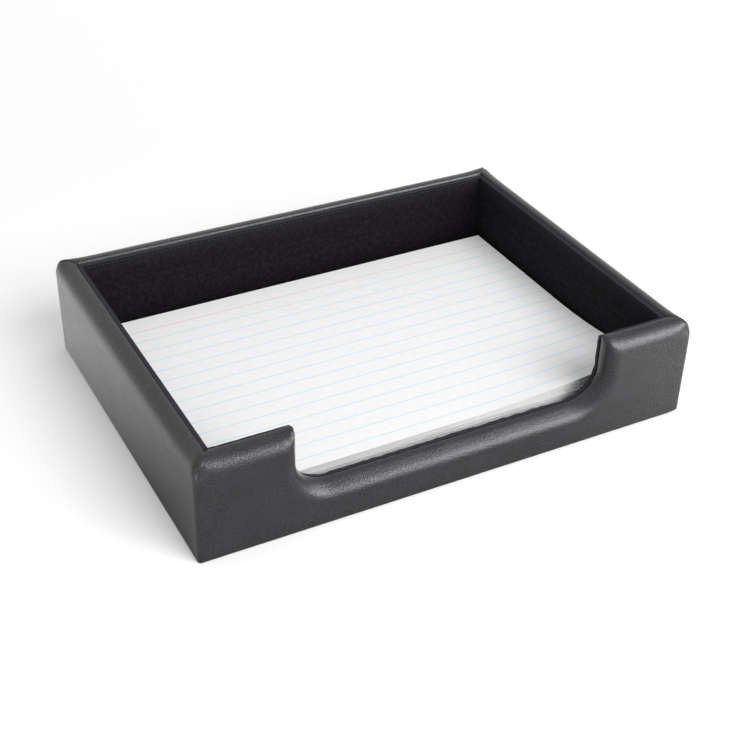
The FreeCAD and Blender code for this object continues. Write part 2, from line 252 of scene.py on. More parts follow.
velvetLook = {
    "deep": "#0d0a0c", "nap": "#161317", "brushed": "#1f1d22", "toneStops": (0.45, 0.62, 0.8),
    "blotchSize": 1.6, "blotchRough": 0.62, "pileSize": 0.4, "pileShare": 0.25, "pileStrength": 0.5,
    "pileHeight": 0.15, "foldWearAndHighlight": "#39373d", "foldWearAndHighlightShare": 0.85, "roughness": 0.95, "specular": 0.15,
    "sheen": 0.09, "sheenRough": 0.35, "sheenTint": "#8d8c98",
}


def cutPileVelvet():
    # cut-pile velveteen: almost black, cloudy where the nap was stroked, pale at grazing angles
    look = velvetLook
    material = freshMaterial("cutPileBlackVelvet")
    place = addNode(material, "ShaderNodeTexCoord").outputs["Object"]
    blotch = cloudy(material, place, look["blotchSize"], 5.0, Roughness=look["blotchRough"])
    pile = cloudy(material, place, look["pileSize"], 2.0)
    tone = maths(material, "MULTIPLY_ADD", {0: pile, 2: blotch}, i1=look["pileShare"])
    colour = ramp(material, tone, zip(look["toneStops"], (look["deep"], look["nap"], look["brushed"])))
    # paler along the folded edges: partly the pile opening there, partly a painted highlight where light
    # catches the fold, with a fainter painted light a little way down each panel
    foldWearAndLightMask = addNode(material, "ShaderNodeAttribute", {"attribute_name": "foldWearAndLightMask"})
    foldWearAndHighlight = maths(material, "MULTIPLY", {0: foldWearAndLightMask.outputs["Fac"]}, i1=look["foldWearAndHighlightShare"])
    mixed = addNode(material, "ShaderNodeMix", {"data_type": "RGBA"}, i7=linear(look["foldWearAndHighlight"]),
                    links={0: foldWearAndHighlight, 6: colour})
    bump = relief(material, pile, look["pileStrength"], look["pileHeight"])
    shader = addNode(material, "ShaderNodeBsdfPrincipled", Roughness=look["roughness"],
                     Sheen_Weight=look["sheen"], Sheen_Roughness=look["sheenRough"],
                     Sheen_Tint=linear(look["sheenTint"]), Specular_IOR_Level=look["specular"],
                     links={"Base Color": mixed.outputs[2], "Normal": bump})
    return finishMaterial(material, shader)


feltLook = {"low": "#161517", "high": "#2a292b", "ends": (0.3, 0.7), "fibreSize": 0.6, "fibreRough": 0.7,
            "fibreStrength": 0.6, "fibreHeight": 0.2}


def pressedFelt():
    # pressed wool felt: matt black with short loose fibres
    look = feltLook
    material = freshMaterial("pressedBlackFelt")
    place = addNode(material, "ShaderNodeTexCoord").outputs["Object"]
    fibres = cloudy(material, place, look["fibreSize"], 6.0, Roughness=look["fibreRough"])
    colour = ramp(material, fibres, zip(look["ends"], (look["low"], look["high"])))
    bump = relief(material, fibres, look["fibreStrength"], look["fibreHeight"])
    shader = addNode(material, "ShaderNodeBsdfPrincipled", Roughness=1.0,
                     links={"Base Color": colour, "Normal": bump})
    return finishMaterial(material, shader)


plainLook = {"ends": (0.35, 0.65), "strength": 0.3, "height": 0.1}


def plainStuff(name, low, high, size, roughness, metallic=0.0, stretch=(1, 1, 1)):
    # the hidden materials and the thread: two close tones and a fine bump at the stuff's own scale
    material = freshMaterial(name)
    place = addNode(material, "ShaderNodeTexCoord").outputs["Object"]
    turned = addNode(material, "ShaderNodeMapping", Scale=stretch, links={"Vector": place})
    specks = cloudy(material, turned.outputs[0], size, 5.0)
    colour = ramp(material, specks, zip(plainLook["ends"], (low, high)))
    bump = relief(material, specks, plainLook["strength"], plainLook["height"])
    shader = addNode(material, "ShaderNodeBsdfPrincipled", Roughness=roughness, Metallic=metallic,
                     links={"Base Color": colour, "Normal": bump})
    return finishMaterial(material, shader)


cardLook = {
    "paper": "#f8f8f8", "paperLow": "#f4f4f5", "cloudSize": 2.5, "cloudEnds": (0.3, 0.7),
    "cloudStrength": 0.15, "cloudHeight": 0.02, "roughness": 0.75, "red": "#f3d1cb", "blue": "#cce6f5",
    "depth": 101.6, "redFromEdge": 8.0, "linePitch": 6.35, "lineWidth": 0.34, "lineEdge": (0.6, 1.4),
}


def cardPaper(name, ruled):
    # uncoated index card stock: bright matt white with faint fibre cloud, offset-ruled on one side
    look = cardLook
    material = freshMaterial(name)
    place = addNode(material, "ShaderNodeTexCoord")
    cloud = cloudy(material, place.outputs["Object"], look["cloudSize"], 4.0)
    colour = ramp(material, cloud, zip(look["cloudEnds"], (look["paperLow"], look["paper"])))
    if ruled:
        split = addNode(material, "ShaderNodeSeparateXYZ", links={0: place.outputs["UV"]})
        # which ruled line a point is nearest to, counted from the red one
        count = maths(material, "MULTIPLY_ADD", {0: split.outputs["Y"]},
                      i1=-look["depth"] / look["linePitch"],
                      i2=(look["depth"] - look["redFromEdge"]) / look["linePitch"])
        near = maths(material, "ROUND", {0: count})
        away = maths(material, "ABSOLUTE", {0: maths(material, "SUBTRACT", {0: count, 1: near})})
        half = look["lineWidth"] / 2 / look["linePitch"]
        sharp, faint = look["lineEdge"]
        onLine = addNode(material, "ShaderNodeMapRange", {"interpolation_type": "SMOOTHSTEP"},
                         From_Min=half * sharp, From_Max=half * faint, To_Min=1.0, To_Max=0.0,
                         links={"Value": away})
        # no line lies above the red one, and all below it are blue
        belowTop, isBlue = [maths(material, "GREATER_THAN", {0: count}, i1=least) for least in (-0.5, 0.5)]
        inked = maths(material, "MULTIPLY", {0: onLine.outputs[0], 1: belowTop})
        ink = ramp(material, isBlue, [(0.0, look["red"]), (1.0, look["blue"])])
        mixed = addNode(material, "ShaderNodeMix", {"data_type": "RGBA"}, links={0: inked, 6: colour, 7: ink})
        colour = mixed.outputs[2]
    bump = relief(material, cloud, look["cloudStrength"], look["cloudHeight"])
    shader = addNode(material, "ShaderNodeBsdfPrincipled", Roughness=look["roughness"],
                     links={"Base Color": colour, "Normal": bump})
    return finishMaterial(material, shader)


say("materials")
leather = topCoatedLeather()
velvet = cutPileVelvet()
felt = pressedFelt()
ruledCard = cardPaper("ruledCardPaper", True)
plainCard = cardPaper("plainCardPaper", False)
threadStuff = plainStuff("spunPolyesterThread", "#1a1a1b", "#2c2c2e", 0.25, 0.6)
foamStuff = plainStuff("greyPolyurethaneFoam", "#4c4c4e", "#6a6a6c", 0.8, 0.95)
fibreBoard = plainStuff("mediumDensityFibreboard", "#8a6b49", "#a3835e", 0.7, 0.85)
greyBoard = plainStuff("greyChipboard", "#77756f", "#918f88", 0.9, 0.9)
bradSteel = plainStuff("drawnSteelWire", "#8f9295", "#b0b3b6", 0.3, 0.35, 1.0, (1, 1, 0.1))


def wear(piece, *stuffs):
    piece.data.materials.clear()
    for stuff in stuffs:
        piece.data.materials.append(stuff)


for nodes, stuff in (
    (("base_board", "front_board", "back_board", "left_board", "right_board"), fibreBoard),
    (("front_stiffener", "back_stiffener", "left_stiffener", "right_stiffener", "floor_stiffener"),
     greyBoard),
    (("corner_brads", "base_brads"), bradSteel),
):
    for node in nodes:
        wear(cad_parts[node], stuff)


# the sizes that the frame gives
wrapLow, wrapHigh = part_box("leather_wrap")
innerX = -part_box("left_stiffener")[0].x      # the leather's inner face, half the width
innerY = -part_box("front_stiffener")[0].y
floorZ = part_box("floor_stiffener")[0].z
halfX, halfY, topZ = wrapHigh.x, wrapHigh.y, wrapHigh.z
wall = halfX - innerX

notch = {"halfWidth": 53.4 * mm, "lip": 12.7 * mm, "corner": 11.3 * mm}

wrapSettings = {
    "turnUnder": 14.0, "outerRoll": 4.4, "backRoll": 2.6, "innerRoll": 1.2, "postRoll": 0.9, "lipRoll": 4.5,
    "verticalRoll": 1.5, "bottomRoll": 0.6, "rollSegments": 9, "notchSegments": 12,
    "pitch": 3.2, "cornerCuts": (4.8, 5.3, 5.8, 6.4, 7.0, 7.8), "cornerCutReach": 6.0,
    "mitreCuts": (-1.2, -0.45, 0, 0.45, 1.2), "mitreCutDeep": 4.0, "mitreCutReach": 8.0, "thickness": 0.7,
    "rimDeep": 4.8, "lipDeep": 5.0, "sideDeep": 4.5, "softenBelow": 11.0,
    "swell": 0.5, "swellFrom": 0.2, "swellReach": 0.55, "backReach": 1.0, "swellDeep": 3.0, "lipSwell": 0.9,
    "overhang": 0.35, "overhangReach": 1.5, "overhangBelow": 0.05, "overhangFade": 0.4,
    "crown": 0.22, "crownEnds": 22.0, "fade": 3.5, "ripple": 0.10, "rippleSize": 17.0,
    "cornerPeak": 0.9, "peakReach": 6.0, "peakDeep": 9.0,
    "seamDepth": 0.45, "seamWidth": 0.45, "seamEnd": 12.0, "seamFade": 4.0,
    "pleatDeep": 1.3, "pleatReach": 1.05, "pleatBelow": 3.6, "pleatTall": 1.5, "pleatEnd": 7.0,
    "pleatFade": 4.0, "pleatShare": 0.7, "ridgeShare": 0.3, "ridgeSlant": 0.9, "ridgeAbove": 2.5,
    "ridgeAside": 0.2, "ridgeWidth": 0.6, "ridgeMiddle": 2.0, "ridgeTall": 1.8, "ridgeEnd": 3.0,
    "ridgeFade": 2.0,
    "postPeak": 0.45, "postReach": 3.5, "postDeep": 2.5, "postFade": 4.0,
    "skirt": 0.55, "skirtWidth": 2.4, "skirtFade": 1.2, "skirtTall": 4.0,
}


def cutNotch(frontY, backY, halfWidth, lip, corner, segments):
    # cuts the finger notch through the front wall of the piece in edit mode and rounds its lower corners
    tol = 0.05 * mm

    def onWall(face):
        return all(v.co.y < backY + tol for v in face.verts)

    cutAcross((-halfWidth, halfWidth), (1, 0, 0), onWall)
    cutAcross((lip,), (0, 0, 1), onWall)
    pick("FACE", lambda f: onWall(f) and abs(middle(f).x) < halfWidth - tol and middle(f).z > lip + tol)
    bpy.ops.mesh.delete(type="FACE")

    def openEdge(edge):
        a, b = edge.verts[0].co, edge.verts[1].co
        inside = all(abs(p.x) < halfWidth + tol and p.z > lip - tol and p.y < backY + tol for p in (a, b))
        return edge.is_boundary and inside and abs(a.y - b.y) < tol

    pick("EDGE", openEdge)
    bpy.ops.mesh.bridge_edge_loops()

    def lowerCorner(edge):
        a, b = edge.verts[0].co, edge.verts[1].co
        atCorner = all(abs(abs(p.x) - halfWidth) < tol and abs(p.z - lip) < tol for p in (a, b))
        return atCorner and abs(a.y - b.y) > tol

    pick("EDGE", lowerCorner)
    rounded(corner, segments)

    def helperEdge(edge):
        # a cut left over on a flat face of the wall, which would spoil the rolls
        flat = len(edge.link_faces) == 2 and edge.calc_face_angle(1.0) < 0.01
        return flat and any(all(abs(v.co.y - y) < tol for v in edge.verts) for y in (frontY, backY))

    pick("EDGE", helperEdge)
    bpy.ops.mesh.dissolve_edges(use_verts=True)


def fromNotch(x, z):
    # how far a point of the front wall is from the notch, in millimetres, and the way that leads away from it
    half, lip, corner = notch["halfWidth"] / mm, notch["lip"] / mm, notch["corner"] / mm
    side = math.copysign(1, x)
    if abs(x) < half - corner:
        return lip - z, Vector((0, 0, -1))
    if z > lip + corner:
        return abs(x) - half, Vector((side, 0, 0))
    out = Vector((abs(x) - half + corner, 0, z - lip - corner))
    return out.length - corner, Vector((out.x * side, 0, out.z)).normalized()


def makeLeatherWrap():
    s = wrapSettings
    piece = blockFrom("leatherWrap", wrapLow, wrapHigh)
    bpy.ops.object.mode_set(mode="EDIT")
    pick("FACE", lambda f: f.normal.z > 0.9)
    bpy.ops.mesh.inset(thickness=wall)
    bpy.ops.mesh.extrude_region_move(TRANSFORM_OT_translate={"value": (0, 0, floorZ - topZ)})
    bpy.ops.mesh.delete(type="FACE")
    pick("FACE", lambda f: f.normal.z < -0.9)
    bpy.ops.mesh.inset(thickness=s["turnUnder"] * mm)
    bpy.ops.mesh.delete(type="FACE")
    cutNotch(-halfY, -innerY, notch["halfWidth"], notch["lip"], notch["corner"], s["notchSegments"])

    # how round each edge is, as a share of the widest roll
    tol = 0.02 * mm
    mesh = bmesh.from_edit_mesh(piece.data)
    layers = mesh.edges.layers.float
    weights = layers.get("bevel_weight_edge") or layers.new("bevel_weight_edge")

    def at(edge, axis, *values):
        return any(all(abs(v.co[axis] - value) < tol for v in edge.verts) for value in values)

    for edge in mesh.edges:
        roll = 0.0
        if len(edge.link_faces) == 2 and edge.calc_face_angle(0.0) > math.radians(30):
            outX, outY, onTop = at(edge, 0, -halfX, halfX), at(edge, 1, -halfY, halfY), at(edge, 2, topZ)
            if onTop and at(edge, 1, halfY):
                roll = s["backRoll"]
            elif onTop and (outX or outY):
                roll = s["outerRoll"]
            elif onTop and (at(edge, 0, -innerX, innerX) or at(edge, 1, -innerY, innerY)):
                roll = s["innerRoll"]
            elif onTop:
                roll = s["postRoll"]
            elif outX and outY:
                roll = s["verticalRoll"]
            elif at(edge, 2, wrapLow.z) and (outX or outY):
                roll = s["bottomRoll"]
            elif at(edge, 1, -halfY):
                roll = s["lipRoll"]
            elif at(edge, 1, -innerY) and abs(middle(edge).x) < notch["halfWidth"] + tol:
                roll = s["innerRoll"]
        edge[weights] = roll / s["lipRoll"]
    bmesh.update_edit_mesh(piece.data)
    bpy.ops.object.mode_set(mode="OBJECT")
    applied(piece, "BEVEL", limit_method="WEIGHT", width=s["lipRoll"] * mm, segments=s["rollSegments"],
            use_clamp_overlap=False, miter_outer="MITER_SHARP")
    print("  bevelled", len(piece.data.vertices), "vertices")

    # cuts that let the skin follow the padding
    chooseOnly(piece)
    bpy.ops.object.mode_set(mode="EDIT")
    bpy.ops.mesh.select_all(action="SELECT")
    bpy.ops.mesh.remove_doubles(threshold=0.01 * mm)
    for axis, low, high in ((0, -halfX, halfX), (1, -halfY, halfY), (2, wrapLow.z, topZ)):
        direction = Vector([float(i == axis) for i in range(3)])
        # a cut that ran along inside a roll would show in its shine, so only faces square to it are cut
        cutAcross(steps(low, high, s["pitch"] * mm), direction, lambda f: abs(f.normal[axis]) < 0.02)
    # finer cuts below the rolled corners, where the leather is pleated
    cutAcross([topZ - d * mm for d in s["cornerCuts"]], (0, 0, 1), lambda f: abs(f.normal.z) < 0.02
              and math.hypot(halfX - abs(middle(f).x), halfY - abs(middle(f).y)) < s["cornerCutReach"] * mm)
    # cuts along the corner mitres of the rim
    for sideX in (-1, 1):
        for sideY in (-1, 1):
            corner = Vector((sideX * halfX, sideY * halfY, 0))
            normal = Vector((sideX, -sideY, 0)).normalized()

            def rimFace(face):
                p = middle(face)
                aside = max(abs(p.x - corner.x), abs(p.y - corner.y))
                return p.z > topZ - s["mitreCutDeep"] * mm and aside < s["mitreCutReach"] * mm

            for shift in s["mitreCuts"]:
                pick("FACE", rimFace)
                bpy.ops.mesh.bisect(plane_co=corner + normal * shift * mm, plane_no=normal)
    bpy.ops.mesh.select_all(action="SELECT")
    bpy.ops.mesh.remove_doubles(threshold=0.02 * mm)
    bpy.ops.object.mode_set(mode="OBJECT")
    print("  cut", len(piece.data.vertices), "vertices")

    def lowered(gap, deep):
        # how much further from its edge a point lies once the roll reaches that deep
        roll, end = s["lipRoll"], s["softenBelow"]
        if gap <= 0 or gap >= end:
            return 0.0
        return gap * deep / roll - gap if gap < roll else (deep - roll) * (end - gap) / (end - roll)

    def roundOver(p):
        # the padding draws the roll further down the face than it reaches over the top
        x, y, z = p.x / mm, p.y / mm, p.z / mm
        onTop = max(abs(x) - halfX / mm, abs(y) - halfY / mm) + s["outerRoll"]
        if onTop <= 0:
            return p
        share = softStep(onTop)
        p = p.copy()
        if y < -halfY / mm + s["outerRoll"]:
            gap, away = fromNotch(x, z)
            p += away * lowered(gap, s["lipDeep"] * away.z ** 2 + s["sideDeep"] * away.x ** 2) * share * mm
            if abs(x) < notch["halfWidth"] / mm:
                return p
        p.z -= lowered(topZ / mm - z, s["rimDeep"]) * share * mm
        return p

    def overLining(p):
        # behind its inner edge the rim swells up, and the edge leans a little over the lining
        x, y, z = p.x / mm, p.y / mm, p.z / mm
        close = 0.01
        inside = max(abs(x) - innerX / mm, abs(y) - innerY / mm)
        if inside < -close:
            return p
        alongBack = y - innerY / mm >= inside - close
        share = inside / (wall / mm)
        reach = s["backReach"] if alongBack else s["swellReach"]
        swell = s["swell"] * softStep(1 - (share - s["swellFrom"]) / reach)
        lean = s["overhang"] * softStep(1 - inside / s["overhangReach"])
        p = p.copy()
        if y < -innerY / mm + close:
            # the lip of the notch stands up in the same way
            gap, away = fromNotch(x, z)
            rise = s["lipSwell"] / s["swell"] * swell * softStep(1 - gap / s["swellDeep"])
            p -= away * rise * away.z ** 2 * mm
        gap = topZ / mm - z
        p.z += swell * softStep(1 - gap / s["swellDeep"]) * mm
        for axis, face in ((0, innerX / mm), (1, innerY / mm)):
            if abs(p[axis]) / mm - face >= inside - 0.3:  # the nearer wall, or both at a corner
                atEdge = softStep(1 - (gap - s["overhangBelow"]) / s["overhangFade"])
                p[axis] -= math.copysign(lean * atEdge * mm, p[axis])
        return p

    def settle(p):
        p = overLining(roundOver(p))
        x, y, z = p.x / mm, p.y / mm, p.z / mm
        hx, hy, tz, bz = halfX / mm, halfY / mm, topZ / mm, wrapLow.z / mm
        # 1 on an outer face, fading out round its rolled edges
        onX, onY = softStep(1 - (hx - abs(x)) / s["fade"]), softStep(1 - (hy - abs(y)) / s["fade"])
        # the padding crowns the outer faces between their edges
        rise = math.sin(math.pi * min(1, max(0, (z - bz) / (tz - bz))))
        crownX = s["crown"] * rise * softStep((hy - abs(y)) / s["crownEnds"]) * onX
        crownY = s["crown"] * rise * softStep((hx - abs(x)) / s["crownEnds"]) * onY
        # slow unevenness of hand-laid leather
        wave = noise.noise(Vector((x, y, z)) / s["rippleSize"]) * s["ripple"] * rise
        p.x += math.copysign((crownX + wave * onX), x) * mm
        p.y += math.copysign((crownY + wave * onY), y) * mm
        # the folded corners stand up a little, and the mitre seam sinks in along the corner's diagonal
        upper = softStep((z - tz + s["peakDeep"]) / s["peakDeep"])
        cornerGap = math.hypot(hx - abs(x), hy - abs(y))
        p.z += upper * s["cornerPeak"] * hill(cornerGap, s["peakReach"]) * mm
        aside = (hx - abs(x)) - (hy - abs(y))
        seam = s["seamDepth"] * hill(abs(aside) / math.sqrt(2), s["seamWidth"])
        p.z -= upper * seam * softStep((s["seamEnd"] - cornerGap) / s["seamFade"]) * mm
        # the spare leather is tucked into a small pleat below each rolled corner, with a ridge beside it
        above = z - tz + s["pleatBelow"]
        pit = math.hypot(aside - s["pleatReach"], above / s["pleatTall"])
        dent = s["pleatDeep"] * hill(pit, s["pleatReach"])
        dent *= softStep((s["pleatEnd"] - cornerGap) / s["pleatFade"])
        off = abs(aside + s["ridgeSlant"] * (above - s["ridgeAbove"]) - s["ridgeAside"])
        ridge = s["ridgeShare"] * s["pleatDeep"] * hill(off, s["ridgeWidth"])
        ridge *= hill(above - s["ridgeMiddle"], s["ridgeTall"])
        dent -= ridge * softStep((s["ridgeEnd"] - cornerGap) / s["ridgeFade"])
        p.x -= math.copysign(dent * s["pleatShare"] * mm, x)
        p.y -= math.copysign(dent * s["pleatShare"] * mm, y)
        # the leather stands up to a point beside the notch
        if y < 0:
            atPost = hill(abs(abs(x) - notch["halfWidth"] / mm), s["postReach"])
            atPost *= softStep((z - tz + s["postDeep"]) / s["postDeep"])
            p.z += s["postPeak"] * atPost * softStep((-y - innerY / mm + s["postFade"]) / s["postFade"]) * mm
        # the skin bulges down round the felt under the base, but not at the right corners
        bulge = softStep((s["skirtWidth"] - min(hx - abs(x), hy - abs(y))) / s["skirtFade"])
        bulge *= softStep(cornerGap / s["skirtTall"]) if x > 0 else 1.0
        p.z -= s["skirt"] * bulge * softStep((bz + s["skirtTall"] - z) / s["skirtTall"]) * mm
        return p

    moved(piece, settle)
    applied(piece, "SOLIDIFY", thickness=s["thickness"] * mm, offset=-1, use_quality_normals=True)
    smoothed(piece, 50)
    wear(piece, leather)
    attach(piece, "tray")
    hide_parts("leather_wrap")
    return piece


say("leather")
leatherWrap = makeLeatherWrap()


liningSettings = {
    "pitch": 1.6, "evenBelow": 6.0, "topCuts": (5.0, 4.0, 3.2, 2.6, 2.1, 1.8, 1.5, 1.25, 1.0, 0.75),
    "notchInset": 0.2, "notchSegments": 12, "topRoll": 0.5, "rollSegments": 4, "thickness": 0.5,
    "hemBelow": 1.1, "hemDepth": 0.15, "hemWidth": 0.55, "waver": 0.10, "waverSize": 9.0, "waverMost": 0.05,
    "waverEnds": 4.0, "waverTop": 3.0, "fray": 0.12, "fraySize": 1.9, "frayDeep": 1.2,
    "notchFray": 0.55, "notchFrayDeep": 1.0, "lipRise": 0.75, "lipDeep": 3.0,
    "foldDeep": 0.9, "paintedTopLight": 0.3, "foldReach": 7.0,
    "floorEdge": 0.25, "floorPitch": 5.0, "floorNap": 0.04,
}


def makeWallPanel(side, axis, sign):
    # the panel's face towards the well and its folded top edge, over the stiffener
    s = liningSettings
    low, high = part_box(f"{side}_velvet")
    piece = blockFrom(f"{side}Velvet", low, high)
    inward = Vector((0, 0, 0))
    inward[axis] = -sign
    faceAt = (low if sign > 0 else high)[axis]
    bpy.ops.object.mode_set(mode="EDIT")
    if side == "front":
        # the front panel follows the notch, a little way out from the leather's edge
        extra = s["notchInset"] * mm
        cutNotch(low.y, high.y, notch["halfWidth"] + extra, notch["lip"] - extra, notch["corner"] + extra,
                 s["notchSegments"])
    across = 1 - axis
    pick("FACE", lambda f: f.normal.z < -0.9 or f.normal.dot(inward) < -0.9
         or (abs(f.normal[across]) > 0.9 and abs(abs(middle(f)[across]) - high[across]) < 0.1 * mm))
    bpy.ops.mesh.delete(type="FACE")
    tol = 0.02 * mm

    def foldedEdge(edge):
        if len(edge.link_faces) != 2:
            return False
        inFront = all(abs(v.co[axis] - faceAt) < tol for v in edge.verts)
        return inFront and edge.calc_face_angle(0.0) > math.radians(30)

    pick("EDGE", foldedEdge)
    rounded(s["topRoll"] * mm, s["rollSegments"])
    direction = Vector((0, 0, 0))
    direction[across] = 1
    cutAcross(steps(low[across], high[across], s["pitch"] * mm), direction)
    cutAcross(steps(low.z, high.z - s["evenBelow"] * mm, s["pitch"] * mm), (0, 0, 1))
    cutAcross([high.z - d * mm for d in s["topCuts"]], (0, 0, 1))
    bpy.ops.mesh.select_all(action="SELECT")
    bpy.ops.mesh.remove_doubles(threshold=0.02 * mm)
    bpy.ops.object.mode_set(mode="OBJECT")

    def nap(p):
        p = p.copy()
        if abs(p[axis] - faceAt) < 0.7 * mm:  # the face, not the turned-over edge behind it
            below = (high.z - p.z) / mm
            wave = noise.noise(p / mm / s["waverSize"] + Vector((3, 7, 1)))
            ends = softStep((high[across] - abs(p[across])) / (s["waverEnds"] * mm))
            lift = s["waver"] * wave * ends * softStep(below / s["waverTop"])
            dent = s["hemDepth"] * hill(below - s["hemBelow"], s["hemWidth"]) * softStep(ends)
            p[axis] += -sign * (min(lift, s["waverMost"]) - dent) * mm
        # the cut pile stands up unevenly along the folded edge
        tuft = noise.noise(p / mm / s["fraySize"])
        p.z += s["fray"] * tuft * softStep(1 - (high.z - p.z) / (s["frayDeep"] * mm)) * mm
        if side == "front":
            gap, away = fromNotch(p.x / mm, p.z / mm)
            p -= away * s["lipRise"] * away.z ** 2 * softStep(1 - gap / s["lipDeep"]) * mm
            tuft = noise.noise(p / mm / s["fraySize"] + Vector((5, 1, 2)))
            p -= away * s["notchFray"] * tuft * softStep(1 - gap / s["notchFrayDeep"]) * mm
        return p

    moved(piece, nap)
    applied(piece, "SOLIDIFY", thickness=s["thickness"] * mm, offset=-1, use_quality_normals=True)
    # how near each point is to the folded edge, for the velvet's paler fold: worn pile and a painted
    # highlight, with a fainter painted light further down
    foldWearAndLightMask = piece.data.attributes.new("foldWearAndLightMask", "FLOAT", "POINT")
    for vertex in piece.data.vertices:
        gap = (high.z - vertex.co.z) / mm
        if side == "front":
            gap = min(gap, fromNotch(vertex.co.x / mm, vertex.co.z / mm)[0])
        foldWearAndLightMask.data[vertex.index].value = max(softStep(1 - gap / s["foldDeep"]),
                                            s["paintedTopLight"] * softStep(1 - gap / s["foldReach"]))
    smoothed(piece, 45)
    wear(piece, velvet)
    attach(piece, "tray")
    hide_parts(f"{side}_velvet")
    return piece


say("velvet")
wallPanels = {side: makeWallPanel(side, axis, sign)
              for side, axis, sign in (("back", 1, 1), ("left", 0, -1), ("right", 0, 1), ("front", 1, -1))}


def makeFloorPanel():
    s = liningSettings
    low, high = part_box("floor_velvet")
    piece = blockFrom("floorVelvet", low, high)
    bpy.ops.object.mode_set(mode="EDIT")
    pick("EDGE", lambda e: all(v.co.z > high.z - 0.01 * mm for v in e.verts))
    rounded(s["floorEdge"] * mm, 3)
    cutAcross(steps(low.x, high.x, s["floorPitch"] * mm), (1, 0, 0))
    cutAcross(steps(low.y, high.y, s["floorPitch"] * mm), (0, 1, 0))
    bpy.ops.object.mode_set(mode="OBJECT")

    def nap(p):
        p = p.copy()
        if p.z > high.z - 0.01 * mm:
            p.z -= s["floorNap"] * mm * (1 + noise.noise(p / mm / s["waverSize"]))
        return p

    moved(piece, nap)
    smoothed(piece, 45)
    wear(piece, velvet)
    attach(piece, "tray")
    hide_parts("floor_velvet")
    return piece


floorPanel = makeFloorPanel()


stitchSettings = {"pitch": 1.6, "length": 1.2, "width": 0.26, "proud": 0.01, "endGap": 1.5, "waver": 0.05,
                  "tilt": 4, "thinnest": 0.05, "cuts": (-0.85, -0.6, -0.3, 0, 0.3, 0.6, 0.85), "seed": 5}


def makeStitches():
    # one short stitch, pulled in at both ends, copied round the lining's hem
    s = stitchSettings
    low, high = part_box("lining_thread")
    level = (low.z + high.z) / 2
    deselectAll()
    bpy.ops.mesh.primitive_cylinder_add(vertices=8, radius=s["width"] / 2 * mm, depth=s["length"] * mm,
                                        rotation=(0, math.pi / 2, 0), end_fill_type="NGON")
    stitch = named("liningStitches")
    bpy.ops.object.mode_set(mode="EDIT")
    cutAcross([d * s["length"] / 2 * mm for d in s["cuts"]], (1, 0, 0))
    bpy.ops.object.mode_set(mode="OBJECT")

    def pulledIn(p):
        share = min(1, abs(p.x) / (s["length"] / 2 * mm))
        thin = math.sqrt(max(s["thinnest"], 1 - share ** 3))
        return Vector((p.x, p.y * thin, p.z * thin))

    moved(stitch, pulledIn)
    gap = s["endGap"] * mm
    sides = (
        (Vector((low.x, high.y, 0)), Vector((high.x, high.y, 0)), Vector((0, -1, 0))),
        (Vector((low.x, low.y, 0)), Vector((low.x, high.y, 0)), Vector((1, 0, 0))),
        (Vector((high.x, low.y, 0)), Vector((high.x, high.y, 0)), Vector((-1, 0, 0))),
        (Vector((low.x, low.y, 0)), Vector((-notch["halfWidth"] - gap, low.y, 0)), Vector((0, 1, 0))),
        (Vector((notch["halfWidth"] + gap, low.y, 0)), Vector((high.x, low.y, 0)), Vector((0, 1, 0))),
    )
    draw = random.Random(s["seed"])
    copies = []
    for start, end, facing in sides:
        run = end - start
        count = int((run.length - 2 * gap) / (s["pitch"] * mm))
        angle = math.atan2(run.y, run.x)
        for i in range(count):
            along = gap + (run.length - 2 * gap) * (i + 0.5) / count
            copy = bpy.data.objects.new("stitch", stitch.data.copy())
            bpy.context.scene.collection.objects.link(copy)
            copy.location = start + run.normalized() * along + facing * s["proud"] * mm
            copy.location.z = level + draw.uniform(-s["waver"], s["waver"]) * mm
            copy.rotation_euler = (0, math.radians(draw.uniform(-s["tilt"], s["tilt"])), angle)
            copies.append(copy)
    bpy.data.objects.remove(stitch)
    chooseOnly(*copies)
    bpy.ops.object.transform_apply(location=True, rotation=True, scale=True)
    bpy.ops.object.join()
    piece = bpy.context.active_object
    piece.name = piece.data.name = "liningStitches"
    smoothed(piece, 60)
    wear(piece, threadStuff)
    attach(piece, "tray")
    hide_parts("lining_thread")


say("stitches")
makeStitches()


paddingSettings = {"softEdge": 0.3, "squeeze": 0.75}


def makePadding(side):
    # the foam sheet round a wall board: the frame's own form, welded, softened at its edges
    deselectAll()
    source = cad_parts[f"{side}_padding"]
    piece = bpy.data.objects.new(f"{side}Padding", source.data.copy())
    bpy.context.scene.collection.objects.link(piece)
    piece.data.name = piece.name
    chooseOnly(piece)
    bpy.ops.object.mode_set(mode="EDIT")
    bpy.ops.mesh.select_all(action="SELECT")
    bpy.ops.mesh.remove_doubles(threshold=0.005 * mm)
    bpy.ops.mesh.dissolve_limited(angle_limit=math.radians(3))
    bpy.ops.object.mode_set(mode="OBJECT")
    applied(piece, "BEVEL", limit_method="ANGLE", angle_limit=math.radians(40),
            width=paddingSettings["softEdge"] * mm, segments=2)
    applied(piece, "TRIANGULATE")

    def squeezed(p):
        # the leather, drawn tight over the edges, presses the foam thin there
        p = p.copy()
        x, y, z = p.x / mm, p.y / mm, p.z / mm
        roll, squeeze = wrapSettings["outerRoll"], paddingSettings["squeeze"]
        for axis, out in ((0, halfX / mm - abs(x)), (1, halfY / mm - abs(y))):
            gap, away = topZ / mm - z, Vector((0, 0, -1))
            if axis == 1 and y < 0 and fromNotch(x, z)[0] < gap:
                gap, away = fromNotch(x, z)
            reach = math.hypot(roll - out, roll - gap)
            if out < roll and gap < roll and reach > roll - squeeze:
                pull = 1 - (roll - squeeze) / reach
                p += away * (roll - gap) * pull * mm
                p[axis] -= math.copysign((roll - out) * pull * mm, p[axis])
        return p

    moved(piece, squeezed)
    smoothed(piece, 45)
    wear(piece, foamStuff)
    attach(piece, "tray")
    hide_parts(f"{side}_padding")
    return piece


feltSettings = {"corner": 2.0, "edge": 0.2, "pitch": 6.0}


